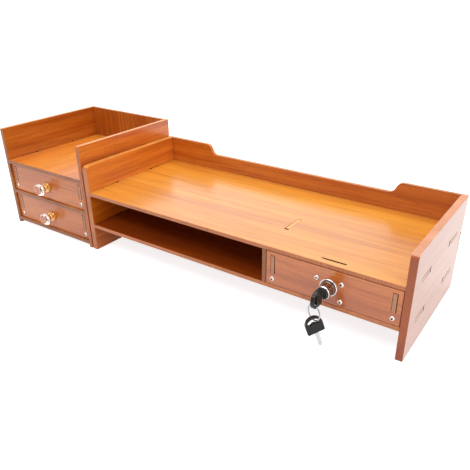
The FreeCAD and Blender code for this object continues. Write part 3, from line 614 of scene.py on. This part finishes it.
screwTree = screwPlacer()
longScrew = screwTemplate("longScrew", screw["length"])
lockScrew = screwTemplate("shortScrew", screw["shortLength"])


def cornerSpots(node):
    low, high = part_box(node)
    r, h = screw["headRadius"] * mm, screw["headHeight"] * mm
    spots = []
    for x in (low.x + r, high.x - r):
        spots.append((Vector((x, low.y + h, (low.z + high.z) / 2)), 0.0, 1.0))
        spots.append((Vector((x, high.y - h, (low.z + high.z) / 2)), math.pi, 1.0))
    return spots


for i, prefix in enumerate(("stand_drawer", "upper_drawer", "lower_drawer")):
    node = prefix + "_screws"
    standFor(placeScrews(node + ".set", longScrew, cornerSpots(node), 11 + i), node)
low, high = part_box("lock_screws")
r, h = screw["headRadius"] * mm, screw["headHeight"] * mm
lockSpots = [(Vector((x, low.y + h, z)), 0.0, 1.0)
             for x in (low.x + r, high.x - r) for z in (low.z + r, high.z - r)]
standFor(placeScrews("lock_screws.set", lockScrew, lockSpots, 5), "lock_screws")
for prefix in ("upper_drawer", "lower_drawer"):
    low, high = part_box(prefix + "_knob_screw")
    seat = Vector(((low.x + high.x) / 2, high.y - screw["knobHead"] * mm, (low.z + high.z) / 2))
    spot = (seat, math.pi, screw["knobSize"])
    standFor(placeScrews(prefix + "_knob_screw.set", lockScrew, [spot], 3), prefix + "_knob_screw")
for template in (longScrew, lockScrew):
    bpy.data.objects.remove(template)
print("screws placed")


# Small parts keep the CAD outline: merged, with a fine bevel and even shading

arris = {"segments": 3, "angle": 38, "sharp": 40}
smallParts = {
    # node: (material, width of the bevel in mm)
    "lock_flange": (zincPlate, 0.15), "lock_case": (zincPlate, 0.15), "lock_cam": (zincPlate, 0.1),
    "lock_bolt": (zincPlate, 0.2), "lock_plug": (shadedNickel, 0.25),
    "stand_drawer_nuts": (zincPlate, 0.2), "upper_drawer_nuts": (zincPlate, 0.2),
    "lower_drawer_nuts": (zincPlate, 0.2), "key_blade": (keySteel, 0.18), "spare_key_blade": (keySteel, 0.18),
    "key_bow": (blackPlastic, 0.8), "spare_key_bow": (blackPlastic, 0.8),
}
for node, (material, width) in smallParts.items():
    bm = mergedCopy(node)
    item = fromBmesh(node + ".fine", bm, [material])
    bevel = item.modifiers.new("arris", "BEVEL")
    bevel.width = width * mm
    bevel.segments = arris["segments"]
    bevel.limit_method = "ANGLE"
    bevel.angle_limit = math.radians(arris["angle"])
    bevel.use_clamp_overlap = True
    settle(item)
    for polygon in item.data.polygons:
        polygon.use_smooth = True
    item.data.set_sharp_from_angle(angle=math.radians(arris["sharp"]))
    weigh = item.modifiers.new("evenShading", "WEIGHTED_NORMAL")
    weigh.keep_sharp = True
    settle(item)
    standFor(item, node)
print("small parts dressed:", len(smallParts))


# Lock: pressed escutcheon ring and turned barrel, both chromed

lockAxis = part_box("lock_ring")
lockCentre = (lockAxis[0] + lockAxis[1]) / 2
lockTrim = {
    "ring": [(8.78, 0.5), (11.3, 0.5), (11.3, -0.35), (11.22, -0.7), (11.0, -1.0), (10.7, -1.17),
             (10.4, -1.2), (10.2, -1.1), (10.08, -0.8), (9.98, -0.3), (9.6, -0.3), (9.5, -0.9), (9.42, -1.7),
             (9.36, -2.7), (9.28, -3.6), (9.18, -4.0), (9.02, -4.18), (8.88, -4.2), (8.78, -4.05),
             (8.78, 0.5)],
    "barrel": [(5.5, 6.0), (8.7, 6.0), (8.7, -14.0), (8.62, -14.5), (8.4, -15.0), (8.1, -15.35),
               (7.7, -15.55), (7.2, -15.6), (6.3, -15.6), (6.12, -15.5), (5.98, -15.25), (5.85, -15.2),
               (5.7, -15.22), (5.6, -15.3), (5.5, -15.2), (5.5, 6.0)],
    # the ring is dull inside the first radius and dark up to the second; the barrel's face is dark and its
    # side dull: painted shade in the groove and on the face, painted reflection of the wood on the collar and
    # side
    "collar": 9.55, "groove": 10.15, "face": 8.2, "rim": -14.2, "round": 96, "sharp": 34,
    "overFront": 0.5,
}
lockCentre.y = lockAxis[1].y - lockTrim["overFront"] * mm   # the plane of the stand's front edges
for label, node in (("ring", "lock_ring"), ("barrel", "lock_barrel")):
    bm = bmesh.new()
    turned(bm, lockTrim[label], lockCentre, lockTrim["round"])
    bmesh.ops.remove_doubles(bm, verts=bm.verts, dist=tiny)
    bmesh.ops.recalc_face_normals(bm, faces=bm.faces)
    for face in bm.faces:
        middle = (face.calc_center_median() - lockCentre) / mm
        reach = math.hypot(middle.x, middle.z)
        if label == "ring":
            face.material_index = 2 if reach < lockTrim["collar"] else 1 if reach < lockTrim["groove"] else 0
        else:
            face.material_index = 1 if reach < lockTrim["face"] else 2 if middle.y > lockTrim["rim"] else 0
    made = fromBmesh(node + ".turned", bm, [chromePlate, shadedNickel, woodTintChrome], lockTrim["sharp"])
    standFor(made, node)
print("lock ring and barrel turned")


# Knobs: turned brass foot with a cup, and a crystal with cut facets

knob = {
    "foot": [(1.75, 0), (7.9, 0), (8.12, -0.15), (8.2, -0.45), (8.2, -1.0), (8.1, -1.25), (7.95, -1.35),
             (8.1, -1.45), (8.2, -1.7), (8.2, -2.2), (8.08, -2.6), (7.8, -2.95), (7.4, -3.15), (6.9, -3.28),
             (6.2, -3.5), (5.4, -3.88), (4.6, -4.4), (4.0, -5.0), (3.62, -5.7), (3.5, -6.4), (3.62, -7.0),
             (4.0, -7.6), (4.6, -8.15), (5.15, -8.5), (5.42, -8.85), (5.5, -9.3), (5.42, -9.8), (5.0, -9.8),
             (4.6, -9.5), (0, -9.3), (0, -8), (1.75, -8), (1.75, 0)],
    "round": 72, "sharp": 40, "facets": 12,
    # (radius, y, turned by half a facet)
    "rings": [(5.1, -9.75, 0), (8.6, -12.5, 1), (10.3, -14.5, 0), (10.3, -15.5, 0), (8.7, -18.1, 1),
              (6.0, -20.9, 0), (4.3, -21.8, 1)],
}


def cutFacets(bm, centre):
    # rings of corners, joined by four-sided facets, or by triangles where the next ring is turned
    rings = []
    count = knob["facets"]
    for radius, y, half in knob["rings"]:
        ring = []
        for i in range(count):
            a = 2 * math.pi * (i + 0.5 * half) / count
            ring.append(bm.verts.new(centre + Vector((radius * math.cos(a), y, radius * math.sin(a))) * mm))
        rings.append((ring, half))
    for (low, halfLow), (high, halfHigh) in zip(rings, rings[1:]):
        for i in range(count):
            j = (i + 1) % count
            if halfLow == halfHigh:
                bm.faces.new((low[i], low[j], high[j], high[i]))
            elif halfHigh:
                bm.faces.new((low[i], low[j], high[i]))
                bm.faces.new((low[j], high[j], high[i]))
            else:
                bm.faces.new((low[i], high[j], high[i]))
                bm.faces.new((low[i], low[j], high[j]))
    bm.faces.new(rings[0][0])
    bm.faces.new(rings[-1][0])


for prefix in ("upper_drawer", "lower_drawer"):
    low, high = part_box(prefix + "_knob_foot")
    centre = (low + high) / 2
    centre.y = high.y
    bm = bmesh.new()
    turned(bm, knob["foot"], centre, knob["round"])
    bmesh.ops.remove_doubles(bm, verts=bm.verts, dist=tiny)
    bmesh.ops.recalc_face_normals(bm, faces=bm.faces)
    foot = fromBmesh(prefix + "_knob_foot.turned", bm, [brassPolish], knob["sharp"])
    standFor(foot, prefix + "_knob_foot")
    bm = bmesh.new()
    cutFacets(bm, centre)
    bmesh.ops.recalc_face_normals(bm, faces=bm.faces)
    standFor(fromBmesh(prefix + "_knob_crystal.cut", bm, [crystalGlass]), prefix + "_knob_crystal")
print("knobs turned and cut")


# Split ring: two flat turns of spring wire lying on each other, in the plane of the CAD ring

splitRing = {"radius": 10.0, "heading": -23.0, "turns": 2, "halfWidth": 0.72, "halfHeight": 0.35,
             "gap": 0.012, "step": 0.9, "points": 168, "section": 10, "start": 2.2, "sharp": 50}
low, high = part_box("key_ring")
ringCentre = (low + high) / 2
heading = math.radians(splitRing["heading"])
along = Vector((math.cos(heading), math.sin(heading), 0))
across = Vector((-along.y, along.x, 0))
bm = bmesh.new()
loops = []
for i in range(splitRing["points"] + 1):
    turn = splitRing["turns"] * 2 * math.pi * i / splitRing["points"]
    a = turn + splitRing["start"]
    out = along * math.cos(a) + Vector((0, 0, 1)) * math.sin(a)
    # the wire crosses from the first turn to the second within one short step
    blend = min(max((turn - 2 * math.pi + splitRing["step"] / 2) / splitRing["step"], 0), 1)
    side = (blend * blend * (3 - 2 * blend) - 0.5) * 2 * (splitRing["halfHeight"] + splitRing["gap"])
    loop = []
    for k in range(splitRing["section"]):
        s = 2 * math.pi * k / splitRing["section"]
        point = out * (splitRing["radius"] + splitRing["halfWidth"] * math.cos(s))
        point += across * (side + splitRing["halfHeight"] * math.sin(s))
        loop.append(bm.verts.new(ringCentre + point * mm))
    loops.append(loop)
for first, second in zip(loops, loops[1:]):
    for k in range(splitRing["section"]):
        n = (k + 1) % splitRing["section"]
        bm.faces.new((first[k], first[n], second[n], second[k]))
bm.faces.new(loops[0])
bm.faces.new(loops[-1])
bmesh.ops.recalc_face_normals(bm, faces=bm.faces)
standFor(fromBmesh("key_ring.split", bm, [ringSteel], splitRing["sharp"]), "key_ring")
print("split ring wound")


# Stage: pale floor, white surround, soft lights and the camera, in metres

stage = {"floorSize": 40.0, "floorColor": "C6C6C6", "floorGlow": 0.80, "worldLight": 0.48}


def seenItself(tree):
    # 1 for rays that show the surround itself: from the camera, mirrored or through glass
    rays = addNode(tree, "ShaderNodeLightPath")
    seen = addNode(tree, "ShaderNodeMath", {"operation": "ADD"}, {
        0: rays.outputs["Is Camera Ray"], 1: rays.outputs["Is Glossy Ray"]})
    return addNode(tree, "ShaderNodeMath", {"operation": "ADD", "use_clamp": True}, {
        0: seen.outputs[0], 1: rays.outputs["Is Transmission Ray"]}).outputs[0]


floorMesh = bpy.data.meshes.new("floor")
far = stage["floorSize"]
floorMesh.from_pydata([(-far, -far, 0), (far, -far, 0), (far, far, 0), (-far, far, 0)], [], [(0, 1, 2, 3)])
floorPaint = bpy.data.materials.new("pale studio floor")
floorPaint.use_nodes = True
tree = floorPaint.node_tree
tree.nodes.remove(tree.nodes["Principled BSDF"])
glow = addNode(tree, "ShaderNodeMath", {"operation": "MULTIPLY"}, {
    0: seenItself(tree), 1: stage["floorGlow"]})
paint = addNode(tree, "ShaderNodeBsdfDiffuse", None, {"Color": hexColor(stage["floorColor"])})
shine = addNode(tree, "ShaderNodeEmission", None, {"Color": (1, 1, 1, 1), "Strength": glow.outputs[0]})
both = addNode(tree, "ShaderNodeAddShader", None, {0: paint.outputs[0], 1: shine.outputs[0]})
tree.links.new(both.outputs[0], tree.nodes["Material Output"].inputs["Surface"])
floor = finishMesh("floor", floorMesh, [floorPaint])

world = bpy.data.worlds.new("white studio")
bpy.context.scene.world = world
world.use_nodes = True
tree = world.node_tree
level = spread(tree, seenItself(tree), stage["worldLight"], 1.0)
background = tree.nodes["Background"]
background.inputs["Color"].default_value = (1, 1, 1, 1)
tree.links.new(level, background.inputs["Strength"])

lamps = {
    # name: (place, aimed at, width, height, watts)
    "overheadSoftbox": ((0.1, 0.15, 1.5), (0.05, 0.0, 0.1), 1.8, 1.3, 22.0),
    "rearSoftbox": ((-1.15, 1.75, 0.95), (0.1, 0.0, 0.1), 1.7, 1.3, 5.0),
    "frontFill": ((-0.2, -0.95, 1.45), (0.0, 0.0, 0.08), 1.3, 0.6, 11.0),
    "rightFill": ((1.7, -0.3, 0.7), (0.2, 0.0, 0.08), 1.2, 1.0, 7.0),
}
for name, (place, aim, width, height, watts) in lamps.items():
    lamp = bpy.data.lights.new(name, "AREA")
    lamp.shape = "RECTANGLE"
    lamp.size = width
    lamp.size_y = height
    lamp.energy = watts
    item = bpy.data.objects.new(name, lamp)
    item.location = place
    item.rotation_euler = (Vector(aim) - Vector(place)).to_track_quat("-Z", "Y").to_euler()
    item.visible_camera = False
    bpy.context.collection.objects.link(item)

view = {"place": (0.47290, -0.57683, 0.39606), "yaw": 33.75, "pitch": 27.55, "lens": 41.0,
        "shiftX": -0.0272, "shiftY": 0.0321, "sensor": 36, "nearest": 0.01}
cameraData = bpy.data.cameras.new("camera")
cameraData.sensor_width = view["sensor"]
cameraData.lens = view["lens"]
cameraData.shift_x = view["shiftX"]
cameraData.shift_y = view["shiftY"]
cameraData.clip_start = view["nearest"]
camera = bpy.data.objects.new("camera", cameraData)
camera.location = view["place"]
camera.rotation_euler = (math.radians(90 - view["pitch"]), 0, math.radians(view["yaw"]))
bpy.context.collection.objects.link(camera)
bpy.context.scene.camera = camera
bpy.context.scene.view_settings.view_transform = "Standard"
print("stage, lights and camera set")
